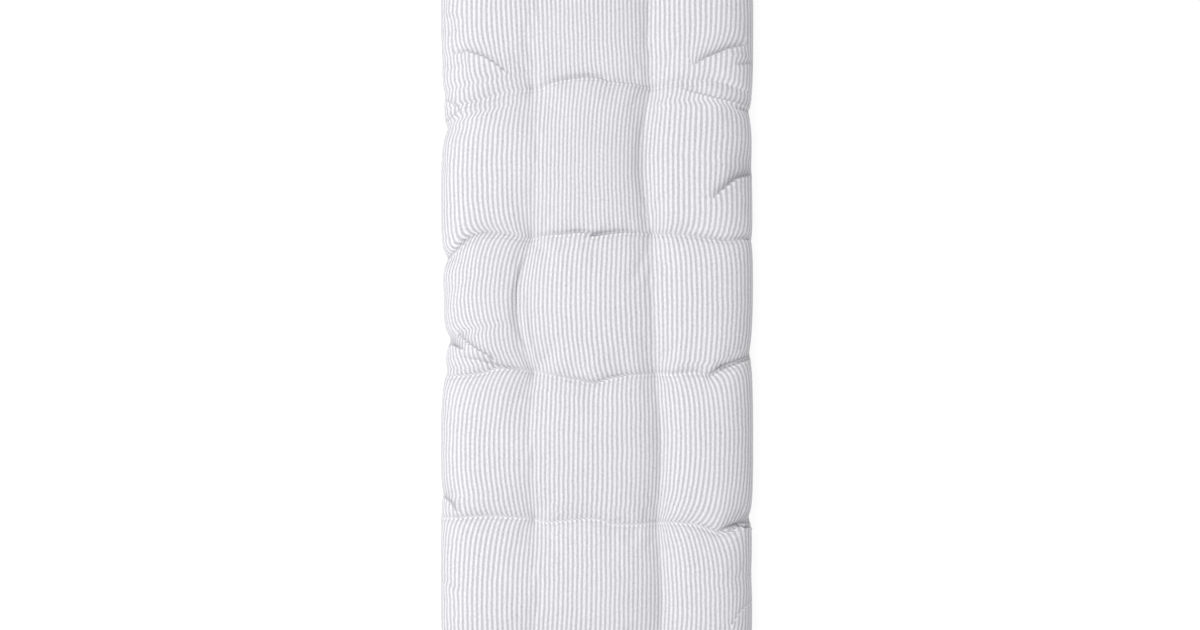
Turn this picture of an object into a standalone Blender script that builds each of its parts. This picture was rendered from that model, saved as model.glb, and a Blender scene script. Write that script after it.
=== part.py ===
"""Tufted bench cushion: a striped cotton cover, filled, sewn round the edge and stitched through.

Units are metres. X runs across the cushion and Y along it, +Z is up, and the origin is the middle of
the underside, which lies on the bench. The cushion is one soft body, so it is one object, made from an
upper and a lower sheet that meet in the edge seam.
"""

import math
from collections import namedtuple

import bmesh
import bpy

MM = 0.001

# Driving sizes of the filled cushion
LENGTH = 1200 * MM
WIDTH = 400 * MM
CROWN_HEIGHT = 76 * MM
SEAM_HEIGHT = 33 * MM
SHOULDER_RADIUS = 58 * MM
SHOULDER_FULLNESS = 2.3
CORNER_RADIUS = 26 * MM
END_DRAW_IN = 3 * MM
CORNER_DRAW_IN = 2 * MM

# How fast a row's pull on the edge seam fades, as the number of times it falls to a third along one panel
DRAW_IN_FADES = 6

# The lower sheet is pressed flat on the bench, so it is clipped this far above its own lowest point
BELLY_PRESSED_FLAT = 7 * MM

# Valleys between the tufts: the share of the cover's rise that they take, and how fast that fades
ROW_VALLEY = (0.30, 11 * MM)
ROW_SADDLE = (0.16, 38 * MM)
COLUMN_VALLEY = (0.46, 21 * MM)
LOWER_VALLEY_SHARE = 0.8

# Each stitch pulls a dimple deeper than the valleys that meet there
DIMPLE_DEPTH = 9 * MM
DIMPLE_RADIUS = 9 * MM

# Mesh steps from the edge seam to a tuft, and between two tufts
STEPS_ACROSS = (9, 8, 9)
STEPS_ALONG = 10

# The two sheets' rims lie on each other within this distance, so it is enough to sew them together
SEAM_GAP = 0.01 * MM

COVER_COLOUR = (0.78, 0.78, 0.81, 1.0)
COVER_ROUGHNESS = 0.9

# The crease through each row of tufts, in millimetres, from the foot end (-Y) to the head end. The crease
# runs from the left edge seam through the left and the right tuft to the right edge seam, bowed between
# the tufts, and each end of it draws the edge seam in.
TuftRow = namedtuple(
    "TuftRow", "left_edge left_tuft bow right_tuft right_edge left_x right_x draw_in_left draw_in_right"
)
TUFT_ROWS = (
    TuftRow(-452, -461, -3, -460, -455, -83, 80, 8, 9),
    TuftRow(-268, -274, 1, -276, -283, -80, 79, 3, 7),
    TuftRow(-68, -84, -13, -88, -66, -81, 76, 13, 5),
    TuftRow(62, 85, 6, 92, 80, -86, 71, 9, 3),
    TuftRow(228, 277, 16, 281, 250, -86, 70, 10, 7),
    TuftRow(456, 465, 4, 467, 459, -85, 71, 8, 8),
)

# The panels between those rows, in millimetres, foot end first: how far the two valleys of tufts bow
# sideways midway along the panel, and how far the edge seam is drawn in there.
Panel = namedtuple("Panel", "left_bow right_bow draw_in_left draw_in_right")
PANELS = (
    Panel(0, 2, 0, 0),
    Panel(1, 5, 0, 2),
    Panel(-6, 6, 1, 0),
    Panel(-19, -1, 4, 0),
    Panel(2, -13, 1, 2),
    Panel(4, -3, 1, 0),
    Panel(1, -1, 0, 0),
)


def cosine_share(step, steps):
    """Share of a span reached after a step, with the steps closest together at both ends of the span."""
    return (1 - math.cos(math.pi * step / steps)) / 2


def across_place(index):
    """Which of the three spans across the cushion a mesh line is in, and its share of that span."""
    for span, steps in enumerate(STEPS_ACROSS):
        if index <= steps:
            return span, cosine_share(index, steps)
        index -= steps
    raise ValueError("no such mesh line")


def along_place(index):
    """Which panel along the cushion a mesh line is in, and its share of that panel."""
    panel = min(index // STEPS_ALONG, len(PANELS) - 1)
    return panel, cosine_share(index - panel * STEPS_ALONG, STEPS_ALONG)


def crease_y(row, span, share):
    """Height along the cushion of a row's crease, at a place across it. Rows 0 and 7 are the end seams."""
    if row in (0, len(TUFT_ROWS) + 1):
        position = (span + share) / len(STEPS_ACROSS)
        end = LENGTH / 2 - END_DRAW_IN * math.sin(math.pi * position)
        return -end if row == 0 else end
    tufts = TUFT_ROWS[row - 1]
    stops = (tufts.left_edge, tufts.left_tuft, tufts.right_tuft, tufts.right_edge)
    bow = tufts.bow * math.sin(math.pi * share) if span == 1 else 0
    return (stops[span] + (stops[span + 1] - stops[span]) * share + bow) * MM


def edge_x(side, panel, share):
    """Distance of the edge seam from the middle, drawn in sharply at each row of tufts."""
    names = ("draw_in_left", "draw_in_right")
    ends = [
        getattr(TUFT_ROWS[row], names[side]) if 0 <= row < len(TUFT_ROWS) else 0
        for row in (panel - 1, panel)
    ]
    middle = getattr(PANELS[panel], names[side])
    from_start = math.exp(-share * DRAW_IN_FADES)
    from_end = math.exp(-(1 - share) * DRAW_IN_FADES)
    drawn = middle + (ends[0] - middle) * from_start + (ends[1] - middle) * from_end
    end_panel = panel in (0, len(PANELS) - 1)
    pull = CORNER_DRAW_IN * math.sin(math.pi * share) if end_panel else 0
    return WIDTH / 2 - drawn * MM - pull


def column_x(line, panel, share):
    """Place across the cushion of an edge seam (lines 0 and 3) or of a valley of tufts (lines 1 and 2)."""
    if line in (0, 3):
        side = 0 if line == 0 else 1
        return edge_x(side, panel, share) * (-1 if side == 0 else 1)
    name = "left_x" if line == 1 else "right_x"
    bows = "left_bow" if line == 1 else "right_bow"
    start = getattr(TUFT_ROWS[max(panel - 1, 0)], name)
    end = getattr(TUFT_ROWS[min(panel, len(TUFT_ROWS) - 1)], name)
    bow = getattr(PANELS[panel], bows) * math.sin(math.pi * share)
    return (start + (end - start) * share + bow) * MM


def shoulder(distance):
    """Rise of the cover next to a seam, as a share of its full rise: a quarter ellipse, a little fuller."""
    if distance >= SHOULDER_RADIUS:
        return 1.0
    outward = 1 - max(distance, 0) / SHOULDER_RADIUS
    return (1 - outward**SHOULDER_FULLNESS) ** (1 / SHOULDER_FULLNESS)


def corner_inset(to_side, to_end):
    """How far a point near a square corner moves in from the side and from the end, to round it.

    This maps a square onto a circle: each coordinate is scaled by the square root of one less half the
    square of the other.
    """
    out_x = max(0.0, 1 - to_side / CORNER_RADIUS)
    out_y = max(0.0, 1 - to_end / CORNER_RADIUS)
    return (
        CORNER_RADIUS * out_x * (1 - math.sqrt(1 - out_y**2 / 2)),
        CORNER_RADIUS * out_y * (1 - math.sqrt(1 - out_x**2 / 2)),
    )


def place(index_across, index_along):
    """Where two mesh lines cross: X, Y, the cover's share of its full rise there, and the distances to
    the nearest row and to the nearest column of tufts."""
    span, across = across_place(index_across)
    panel, along = along_place(index_along)
    left, right = column_x(span, panel, along), column_x(span + 1, panel, along)
    near, far = crease_y(panel, span, across), crease_y(panel + 1, span, across)
    x = left + (right - left) * across
    y = near + (far - near) * along
    to_left, to_right = x - column_x(0, panel, along), column_x(3, panel, along) - x
    to_foot, to_head = y - crease_y(0, span, across), crease_y(len(TUFT_ROWS) + 1, span, across) - y
    to_side, to_end = min(to_left, to_right), min(to_foot, to_head)
    rise = shoulder(to_side) * shoulder(to_end)
    to_row = min(
        y - near if panel > 0 else LENGTH,
        far - y if panel < len(PANELS) - 1 else LENGTH,
    )
    to_column = min(abs(x - column_x(line, panel, along)) for line in (1, 2))
    inset_x, inset_y = corner_inset(to_side, to_end)
    x += inset_x if to_left < to_right else -inset_x
    y += inset_y if to_foot < to_head else -inset_y
    return x, y, rise, to_row, to_column


def sheet_height(rise, to_row, to_column, valley_share):
    """Share of the full rise left once the valleys of rows and columns are taken from it."""
    rows = sum(depth * math.exp(-to_row / width) for depth, width in (ROW_VALLEY, ROW_SADDLE))
    depth, width = COLUMN_VALLEY
    columns = depth * math.exp(-to_column / width)
    return rise * (1 - valley_share * rows) * (1 - valley_share * columns)


def dimple(to_row, to_column):
    """Extra depth that the nearest stitch pulls into the cover."""
    return DIMPLE_DEPTH * math.exp(-math.hypot(to_row, to_column) / DIMPLE_RADIUS)


def shape_sheet(mesh, upper):
    """Adds a flat grid to the mesh and lifts it into the upper or the lower sheet of the cover."""
    steps_across, steps_along = sum(STEPS_ACROSS), STEPS_ALONG * len(PANELS)
    made = bmesh.ops.create_grid(mesh, x_segments=steps_across, y_segments=steps_along, size=1)
    for vertex in made["verts"]:
        index_across = round((vertex.co.x + 1) / 2 * steps_across)
        index_along = round((vertex.co.y + 1) / 2 * steps_along)
        x, y, rise, to_row, to_column = place(index_across, index_along)
        pull = dimple(to_row, to_column) * rise
        if upper:
            full = CROWN_HEIGHT - SEAM_HEIGHT
            z = SEAM_HEIGHT + full * sheet_height(rise, to_row, to_column, 1) - pull
        else:
            full = SEAM_HEIGHT + BELLY_PRESSED_FLAT
            drop = full * sheet_height(rise, to_row, to_column, LOWER_VALLEY_SHARE)
            z = max(0.0, SEAM_HEIGHT - drop + pull)
        vertex.co = (x, y, z)
    if not upper:
        faces = {face for vertex in made["verts"] for face in vertex.link_faces}
        bmesh.ops.reverse_faces(mesh, faces=list(faces))


def cover_material():
    """Woven cotton, white with grey-blue stripes, seen from far enough away to be one pale colour."""
    material = bpy.data.materials.new("striped_cotton")
    material.use_nodes = True
    shader = material.node_tree.nodes["Principled BSDF"]
    shader.inputs["Base Color"].default_value = COVER_COLOUR
    shader.inputs["Roughness"].default_value = COVER_ROUGHNESS
    shader.inputs["Metallic"].default_value = 0.0
    return material


def build_cushion(collection):
    """The filled cushion: both sheets, sewn together where their edges meet."""
    shape = bmesh.new()
    shape_sheet(shape, upper=True)
    shape_sheet(shape, upper=False)
    bmesh.ops.remove_doubles(shape, verts=shape.verts, dist=SEAM_GAP)
    mesh = bpy.data.meshes.new("cushion")
    shape.to_mesh(mesh)
    shape.free()
    mesh.materials.append(cover_material())
    mesh.shade_smooth()
    cushion = bpy.data.objects.new("cushion", mesh)
    collection.objects.link(cushion)


def main():
    for old in list(bpy.data.objects):
        bpy.data.objects.remove(old)
    collection = bpy.data.collections.new("bench_cushion")
    bpy.context.scene.collection.children.link(collection)
    build_cushion(collection)


main()
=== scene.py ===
"""Tufted bench cushion, dressed: the filled cotton cover, its sewing and a plain studio.

Units are metres, unless a name or a table says millimetres. X runs across the cushion, Y along it towards
the head end and Z up, with the origin in the middle of the underside. Side 0 is the left one and 1 the right.

The cover is cut flat, laid over the cushion's designed form, filled by a cloth simulation that its tufting
stitches hold down, and then creased where the real one is creased.
"""

import logging
import math
from dataclasses import dataclass
from enum import Enum

import bmesh
import bpy
import numpy as np
from bpy.types import Material, Mesh, Node, NodeSocket, NodeTree, Object
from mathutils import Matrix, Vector
from numpy import ndarray as Array

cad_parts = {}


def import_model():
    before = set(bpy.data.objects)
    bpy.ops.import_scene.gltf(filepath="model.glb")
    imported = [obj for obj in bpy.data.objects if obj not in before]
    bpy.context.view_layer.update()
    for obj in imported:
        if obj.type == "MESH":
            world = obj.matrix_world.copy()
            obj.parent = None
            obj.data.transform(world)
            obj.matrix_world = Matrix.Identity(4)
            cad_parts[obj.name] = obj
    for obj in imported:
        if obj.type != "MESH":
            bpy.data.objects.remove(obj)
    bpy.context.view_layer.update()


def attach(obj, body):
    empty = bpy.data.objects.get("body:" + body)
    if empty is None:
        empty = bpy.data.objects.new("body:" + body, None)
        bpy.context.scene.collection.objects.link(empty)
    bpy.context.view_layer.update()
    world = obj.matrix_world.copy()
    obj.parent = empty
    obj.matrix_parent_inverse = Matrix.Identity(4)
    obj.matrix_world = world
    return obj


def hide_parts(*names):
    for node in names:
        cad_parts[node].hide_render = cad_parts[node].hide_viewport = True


MM = 0.001
LITRE = 0.001
MEASURED_HEIGHT = 45 * MM
SIDES = (0, 1)
ACROSS = (1.0, 0.0, 0.0)
UP = (0.0, 0.0, 1.0)
LOG = logging.getLogger("bench_cushion")

Colour = tuple[float, float, float, float]
WHITE: Colour = (1.0, 1.0, 1.0, 1.0)


class Sheet(Enum):
    """The two panels of the cover; the value is the way the panel swells."""

    UPPER = 1
    LOWER = -1


def share_above(away: Array, half_width: float) -> Array:
    """How far places lie above a crease, from 0 to 1 over a width on either side of it."""
    return (1 + np.clip(away / half_width, -1, 1)) / 2


@dataclass(frozen=True)
class TuftRow:
    """One row of tufts, in millimetres: its crease from the left to the right edge, and its two tufts.

    Each stop of the crease has an X, a Y and how crisp the crease is there, where 1 is usual. The tufts are
    two of the stops, counted from 0. The gathers are the cloth that each stitch takes up from the side panel
    next to it. The slides are how far the cloth next to the crease has slid to the right: in the left panel,
    on both sides of the middle one, and in the right panel. A slide changes from panel to panel over the
    blend, from below the crease to above it over the turn, and fades away from the crease.
    """

    # Crispness also sets how strong the crease's painted highlight and painted shade are
    stops: tuple[tuple[float, float, float], ...]
    tufts: tuple[int, int]
    gathers: tuple[float, float]
    slid_above: tuple[float, ...] = (0, 0, 0, 0)
    slid_below: tuple[float, ...] = (0, 0, 0, 0)
    softening: tuple[float, ...] = (-2, -1, 0, 1, 2)
    slope_step: float = 1
    slide_blend: float = 15
    slide_turn: float = 0.8
    slide_fade: float = 42

    def tuft(self, side: int) -> tuple[float, float]:
        """Place of one of the tufts, in metres."""
        x, y, _ = self.stops[self.tufts[side]]
        return x * MM, y * MM

    def height(self, x: Array) -> Array:
        """Y of the crease at each X, in metres, softened a little at its corners."""
        xs, ys, _ = np.array(self.stops).T * MM
        return sum(np.interp(x + shift * MM, xs, ys) for shift in self.softening) / len(self.softening)

    def away(self, x: Array, y: Array) -> Array:
        """Distance of each place from the crease, square to it, positive towards the head end, in metres."""
        step = self.slope_step * MM
        slope = (self.height(x + step) - self.height(x - step)) / (2 * step)
        return (y - self.height(x)) / np.sqrt(1 + slope**2)

    def crispness(self, x: Array) -> Array:
        """How crisp the crease is at each place across the cushion."""
        xs, _, crisp = np.array(self.stops).T
        return np.interp(x, xs * MM, crisp)

    def slide(self, x: Array, away: Array) -> Array:
        """How far the cloth has slid to the right at each place, in metres, fading away from the crease."""
        blend = self.slide_blend * MM
        places = [self.tuft(side)[0] + shift for side in SIDES for shift in (-blend, blend)]
        share = share_above(away, self.slide_turn * MM)
        slid = np.interp(x, places, self.slid_above) * share
        slid += np.interp(x, places, self.slid_below) * (1 - share)
        return slid * MM * np.exp(-np.abs(away) / (self.slide_fade * MM))


@dataclass(frozen=True)
class Panel:
    """Between two rows: how the two valleys of tufts bow sideways, in millimetres, and how sharp they are."""

    bows: tuple[float, float]
    sharp: tuple[float, float]


@dataclass(frozen=True)
class EdgeDip:
    """A place where the edge seam is drawn in, in millimetres: where, how deep and how far it reaches."""

    y: float
    depth: float
    reach: float


@dataclass(frozen=True)
class HandCrease:
    """A listed fold laid in the cover, in millimetres.

    The route runs from left to right. The cloth above and below it has slid sideways, more the nearer it
    is to the fold, so that the stripes bend towards it. Spread is how far the cloth dives towards the fold
    and how far the painted shade in it reaches, and bead how strong the painted highlight on its lower lip
    is.
    """

    route: tuple[tuple[float, float], ...]
    depth: float
    slide_above: float = 0.0
    slide_below: float = 0.0
    reach: float = 12.0
    spread: float = 2.6
    # Strength of the painted highlight on the fold's lower lip
    bead: float = 0.4

    def slide(self, away: Array, turn: float) -> Array:
        """How far the cloth has slid sideways, in metres.

        Args:
            away: distances from the fold, in metres, positive above it.
            turn: the distance on either side of the fold over which one slide turns into the other.

        Returns:
            The slide at each distance.
        """
        slid = self.slide_below + (self.slide_above - self.slide_below) * share_above(away, turn)
        return slid * MM * np.exp(-np.abs(away) / (self.reach * MM))

    def measure(self, x: Array, y: Array) -> tuple[Array, Array]:
        """Where places lie from the fold.

        Args:
            x: places across the cushion, in metres.
            y: places along it, in metres.

        Returns:
            Each place's distance from the fold, in metres and positive above it, and how far the fold
            has faded out there towards its ends, from 1 to 0.
        """
        route = np.array(self.route, float) * MM
        lengths = np.hypot(*np.diff(route, axis=0).T)
        nearest = np.full(len(x), np.inf)
        signed = np.full(len(x), np.inf)
        reached = np.zeros(len(x))
        walked = 0.0
        for start, end, length in zip(route[:-1], route[1:], lengths):
            step = (end - start) / length
            to_x, to_y = x - start[0], y - start[1]
            inside = np.clip(to_x * step[0] + to_y * step[1], 0, length)
            away = np.hypot(to_x - step[0] * inside, to_y - step[1] * inside)
            side = to_y * step[0] - to_x * step[1]
            closer = away < nearest
            nearest = np.where(closer, away, nearest)
            signed = np.where(closer, np.where(side < 0, -away, away), signed)
            reached = np.where(closer, walked + inside, reached)
            walked += length
        return signed, np.sqrt(np.sin(math.pi * np.clip(reached / walked, 0, 1)))


FOOT_ROW = TuftRow(
    (
        (-201, -452, 0.7), (-83, -461, 0.8), (0, -464, 0.7), (80, -460, 0.8), (201, -455, 0.6),
    ),
    tufts=(1, 3),
    gathers=(8, 8),
)
CRUMPLED_ROW = TuftRow(
    (
        (-201, -273, 0.2), (-182, -273, 0.22), (-154, -271, 0.25), (-126, -271, 0.22), (-98, -273, 0.1),
        (-80, -275, 0.15), (-66, -279, 0.12), (-42, -277, 0.18), (-14, -274, 0.24), (4, -275, 0.18),
        (11, -278, 0.18), (19, -282, 0.27), (50, -282, 0.15), (78, -279, 0.15), (97, -279, 0.3),
        (125, -281, 0.16), (143, -288, 0.45), (158, -294, 0.59), (171, -291, 0.55), (181, -285, 0.45),
        (190, -281, 1.4), (201, -279, 1.0),
    ),
    tufts=(5, 13),
    gathers=(9, 13),
    slid_above=(0, -2, -2, -9),
    slid_below=(6.2, 4.2, 4.2, -2.8),
)
SAGGING_ROW = TuftRow(
    (
        (-201, -91, 0.2), (-182, -90, 0.26), (-163, -89, 0.42), (-145, -86, 0.26), (-127, -80, 0.26),
        (-107, -81, 0.33), (-92, -83, 0.3), (-81, -84, 0.15), (-61, -88, 0.35), (-42, -92, 0.55),
        (-24, -95, 0.6), (-10, -99, 0.7), (0, -100, 0.9), (13, -95, 0.75), (23, -92, 0.9), (41, -89, 0.7),
        (60, -88, 0.45), (76, -87, 0.15), (97, -88, 0.45), (116, -86, 0.7), (134, -86, 0.35),
        (148, -91, 0.6), (162, -82, 2.0), (176, -77, 1.2), (190, -72, 1.3), (201, -68, 1.0),
    ),
    tufts=(7, 17),
    gathers=(12, 7),
    slid_above=(-1, -2, -2, 0),
    slid_below=(5.2, 4.2, 4.2, 0),
)
LEVEL_ROW = TuftRow(
    (
        (-201, 58, 0.4), (-191, 60, 0.4), (-182, 69, 0.32), (-172, 79, 0.48), (-160, 88, 0.4),
        (-144, 92, 0.48), (-117, 91, 0.4), (-98, 88, 0.2), (-83, 87, 0.2), (-70, 91, 0.6), (-42, 93, 1.03),
        (-24, 95, 1.26), (-10, 94, 0.92), (-6, 89, 1.72), (4, 91, 1.84), (23, 94, 1.26), (41, 95, 0.92),
        (60, 94, 0.35), (71, 93, 0.2), (97, 93, 0.3), (125, 91, 0.4), (143, 87, 0.5), (158, 85, 0.6),
        (171, 84, 0.3), (190, 86, 0.9), (201, 84, 0.6),
    ),
    tufts=(8, 18),
    gathers=(8, 8),
    slid_above=(2, 2, -5, -5),
    slid_below=(2, -4.2, -5, 1.2),
)
ARCHED_ROW = TuftRow(
    (
        (-201, 250, 0.2), (-186, 255, 0.09), (-175, 259, 0.14), (-156, 263, 0.16), (-140, 268, 0.16),
        (-122, 273, 0.14), (-104, 277, 0.11), (-82, 280, 0.3), (-72, 281, 0.5), (-61, 287, 0.8),
        (-42, 292, 1.0), (-14, 295, 1.1), (4, 294, 0.7), (13, 290, 0.5), (32, 288, 0.6), (51, 286, 0.3),
        (70, 281, 0.2), (88, 285, 0.25), (107, 288, 0.25), (126, 288, 0.2), (148, 290, 0.1),
        (170, 284, 0.05), (201, 272, 0.05),
    ),
    tufts=(7, 16),
    gathers=(10, 4),
    slid_above=(1, 8, 2, 2),
    slid_below=(1, 8, 4, 2),
)
HEAD_ROW = TuftRow(
    (
        (-201, 456, 0.7), (-86, 465, 0.8), (0, 469, 0.7), (71, 467, 0.8), (201, 459, 0.6),
    ),
    tufts=(1, 3),
    gathers=(7, 7),
)
TUFT_ROWS = (FOOT_ROW, CRUMPLED_ROW, SAGGING_ROW, LEVEL_ROW, ARCHED_ROW, HEAD_ROW)

PANELS = (
    Panel((0, 2), (0.1, 0.6)),
    Panel((2, 5), (0.1, 0.8)),
    Panel((-6, 6), (0.1, 0.9)),
    Panel((-20, -1), (0.65, 0.6)),
    Panel((2, -13), (0.1, 1.0)),
    Panel((4, -3), (0.1, 0.7)),
    Panel((1, -1), (0.1, 0.6)),
)

EDGE_DIPS = tuple(
    tuple(EdgeDip(*dip) for dip in dips)
    for dips in (
        (
            (-456, 8, 18), (-243, 4, 11), (-84, 7, 20), (-45, 12, 16), (10, 4, 40), (60, 8, 10),
            (228, 9, 16), (270, 5, 16), (315, 2, 20), (458, 8, 18),
        ),
        (
            (-458, 8, 18), (-345, 3, 60), (-272, 5, 12), (-58, 5, 26), (84, 2, 10), (180, 3, 50),
            (248, 6, 16), (460, 8, 18),
        ),
    )
)

HAND_CREASES = (
    HandCrease(((-186, 324), (-168, 329), (-146, 322), (-130, 312), (-114, 299)), 2.6, 6.2, bead=0),
    HandCrease(((-210, 306), (-183, 306), (-166, 310)), 0.8, 6.5, 5, 16),
    HandCrease(((-204, 230), (-190, 240), (-180, 250), (-172, 259)), 1.8, 3, -3, 6),
    HandCrease(((-205, 268), (-190, 263), (-178, 256)), 1.2, -3, 3, 6),
    HandCrease(((-205, 379), (-184, 371), (-172, 374)), 0.8, -3, 3, 9),
    HandCrease(((-205, 353), (-188, 350), (-176, 354)), 0.8, 4, 2, 9),
    HandCrease(((124, 310), (142, 321), (157, 327), (168, 332), (194, 337)), 3.6, -12.4, 0, 14, 4),
    HandCrease(((170, 325), (186, 324), (208, 319)), 0.8, 4, 4, 6),
    HandCrease(((178, 310), (192, 312), (208, 311)), 2.0, -3, -3, 5, 3, bead=0),
    HandCrease(((82, 289), (90, 308), (98, 326), (110, 342), (133, 366)), 0.5, 0.6, -0.6, 8),
    HandCrease(((108, 280), (128, 275), (156, 268), (172, 265), (205, 255)), 1.7, 0, -3.1, 7),
    HandCrease(((176, 256), (190, 252), (207, 243)), 2.2, 3, -3, 6),
    HandCrease(((149, 137), (160, 148), (175, 160), (183, 165), (208, 171)), 4.2, -6.2, -3, 11, 5),
    HandCrease(((172, 158), (183, 165), (208, 171)), 2.4, 0, 0, 6, 10, bead=0),
    HandCrease(((-186, -30), (-168, -46), (-151, -58), (-138, -65), (-130, -73)), 2.6, 6.2, 0, 14, bead=0),
    HandCrease(((-178, -65), (-163, -68), (-151, -70), (-119, -80), (-96, -84)), 2.2, 0, 0, 6, bead=1),
    HandCrease(((-204, -60), (-186, -50), (-172, -57)), 3.8, 4, -4, 6, 4),
    HandCrease(((140, -92), (146, -90), (163, -80), (181, -73), (208, -62)), 2.6, 0, -6.2, 8, 3.5),
    HandCrease(((158, -293), (170, -287), (181, -284), (190, -287), (206, -284)), 4.2, -4, 4, 6, 4),
    HandCrease(((168, -287), (182, -284), (192, -287), (206, -284)), 2.4, 0, 0, 6, 9, bead=0),
    HandCrease(((-205, -240), (-188, -254), (-180, -268)), 2.8, -4, 4, 8, 3.5),
    HandCrease(((-205, -350), (-187, -364), (-175, -368)), 0.8, 3, -3, 8),
    HandCrease(((172, -415), (184, -397), (203, -376)), 1.3, -4, 3, 9, bead=0),
    HandCrease(((-94, 75), (-102, 49), (-104, 30), (-104, -4), (-100, -22)), 1.2, bead=0),
    HandCrease(((-94, 17), (-92, -6), (-88, -35), (-83, -53), (-75, -81)), 1.2, bead=0),
    HandCrease(((63, 242), (59, 214), (58, 191), (58, 173), (60, 153), (65, 121)), 1.2, bead=0),
)

# Each tuft's X and Y, its side, and the cloth that its stitch takes up from the side panel, in metres
TUFTS = tuple((*row.tuft(side), side, row.gathers[side] * MM) for row in TUFT_ROWS for side in SIDES)


def to_nearest_row(x: Array, y: Array) -> Array:
    """Distance of each place from the nearest row's crease, measured along the cushion, in metres."""
    return np.min([np.abs(y - row.height(x)) for row in TUFT_ROWS], axis=0)


@dataclass(frozen=True)
class CushionForm:
    """The cushion's designed form: where each place of the flat cloth ends up, before it is filled."""

    length: float = 1200 * MM
    width: float = 405 * MM
    crown: float = 75 * MM
    seam_height: float = 33 * MM
    shoulder: float = 56 * MM
    shoulder_fullness: float = 2.3
    corner_radius: float = 26 * MM
    pressed_flat: float = 7 * MM
    left_column: float = -83 * MM
    right_column: float = 74 * MM
    stripe_pitch: float = 6.2 * MM
    stripes_left: float = 20.5
    stripes_middle: float = 28.0
    stripes_right: float = 21.5
    stripes_turned_under: float = 2.3
    inner_gather: float = 6 * MM
    gather_across: float = 10 * MM
    gather_inward: float = 24 * MM
    gather_along: float = 45 * MM
    cloth_per_length: float = 1.05
    row_valley: float = 0.12
    row_fade: float = 7 * MM
    row_saddle: float = 0.15
    saddle_fade: float = 36 * MM
    soft_column: float = 0.08
    sharp_column: float = 0.40
    column_fade: float = 24 * MM
    sharp_fade: float = 13 * MM
    column_bottom: float = 3 * MM
    sharp_blend: float = 0.3
    lower_share: float = 0.8
    dimple_depth: float = 5 * MM
    dimple_radius: float = 9 * MM
    stripe_follows: float = 0.55
    bow_reach: float = 40 * MM

    def cut_lines(self) -> tuple[float, float, float, float]:
        """Across the flat cloth: its left edge, the two lines of tufts and its right edge, in metres."""
        left_span = (self.stripes_left + self.stripes_turned_under) * self.stripe_pitch
        right_span = (self.stripes_right + self.stripes_turned_under) * self.stripe_pitch
        half = (left_span + self.stripes_middle * self.stripe_pitch + right_span) / 2
        return -half, left_span - half, half - right_span, half

    def row_line(self, row: int, x: Array) -> Array:
        """Y of a row's crease at each X, in metres. Rows 0 and 7 are the end seams."""
        if 0 < row <= len(TUFT_ROWS):
            return TUFT_ROWS[row - 1].height(x)
        return np.full_like(x, -self.length / 2 if row == 0 else self.length / 2)

    def edge(self, side: int, y: Array) -> Array:
        """Distance of an edge seam from the middle, in metres, drawn in at its dips."""
        pulls = (dip.depth * MM * np.exp(-np.abs(y / MM - dip.y) / dip.reach) for dip in EDGE_DIPS[side])
        return self.width / 2 - sum(pulls)

    def to_side(self, x: Array, y: Array) -> Array:
        """Distance of each place from the nearer edge seam, in metres."""
        return np.minimum(x + self.edge(0, y), self.edge(1, y) - x)

    def panel_ends(self, side: int) -> Array:
        """Y of the foot end, of the tufts of a side and of the head end, in metres."""
        return np.array((-self.length / 2, *(row.tuft(side)[1] for row in TUFT_ROWS), self.length / 2))

    def bow(self, side: int, y: Array) -> Array:
        """How far a valley of tufts bows sideways at each Y, in metres."""
        ends = self.panel_ends(side)
        bowed = np.zeros_like(y)
        for panel, start, end in zip(PANELS, ends[:-1], ends[1:]):
            share = np.clip((y - start) / (end - start), 0, 1)
            bowed = bowed + panel.bows[side] * MM * np.sin(math.pi * share)
        return bowed

    def column(self, side: int, y: Array) -> Array:
        """X of a valley of tufts at each Y, in metres."""
        xs, ys = zip(*(row.tuft(side) for row in TUFT_ROWS))
        return np.interp(y, ys, xs) + self.bow(side, y)

    def crossed(self, x: Array, y: Array) -> Array:
        """How far the stripes, which bow less than the valleys, lie to the right of them, in metres."""
        left_behind = np.zeros_like(x)
        for side in SIDES:
            near = np.exp(-np.abs(x - self.column(side, y)) / self.bow_reach)
            left_behind -= (1 - self.stripe_follows) * self.bow(side, y) * near
        return left_behind

    def sharpness(self, side: int, y: Array) -> Array:
        """How sharp a valley of tufts is at each place along the cushion, from 0 to 1."""
        ends = self.panel_ends(side)
        blends = (1 - self.sharp_blend, self.sharp_blend)
        places = np.stack([ends[:-1] * blend + ends[1:] * (1 - blend) for blend in blends], axis=-1).ravel()
        return np.interp(y, places, np.repeat([panel.sharp[side] for panel in PANELS], len(blends)))

    def rise(self, distance: Array) -> Array:
        """Share of its full rise that the cover has at a distance from a seam: a full quarter ellipse."""
        outward = 1 - np.clip(distance / self.shoulder, 0, 1)
        return (1 - outward**self.shoulder_fullness) ** (1 / self.shoulder_fullness)

    def valleys(self, x: Array, y: Array, share: float) -> Array:
        """Share of the rise left between the valleys of rows and columns.

        Args:
            x: places across the cushion, in metres.
            y: places along it, in metres.
            share: how much of the valleys this sheet takes.

        Returns:
            The share of the rise left at each place.
        """
        to_row = to_nearest_row(x, y)
        rows = self.row_valley * np.exp(-to_row / self.row_fade)
        rows += self.row_saddle * np.exp(-to_row / self.saddle_fade)
        left = 1 - share * rows
        for side in SIDES:
            away = np.hypot(x - self.column(side, y), self.column_bottom) - self.column_bottom
            sharp = self.sharpness(side, y)
            fade = self.column_fade + (self.sharp_fade - self.column_fade) * sharp
            depth = self.soft_column + (self.sharp_column - self.soft_column) * sharp
            left *= 1 - share * depth * np.exp(-away / fade)
        return left

    def dimples(self, x: Array, y: Array) -> Array:
        """Depth that the stitches pull into the cover at each place, in metres."""
        away = np.min([np.hypot(x - tuft_x, y - tuft_y) for tuft_x, tuft_y, _, _ in TUFTS], axis=0)
        return self.dimple_depth * np.exp(-away / self.dimple_radius)

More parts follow.
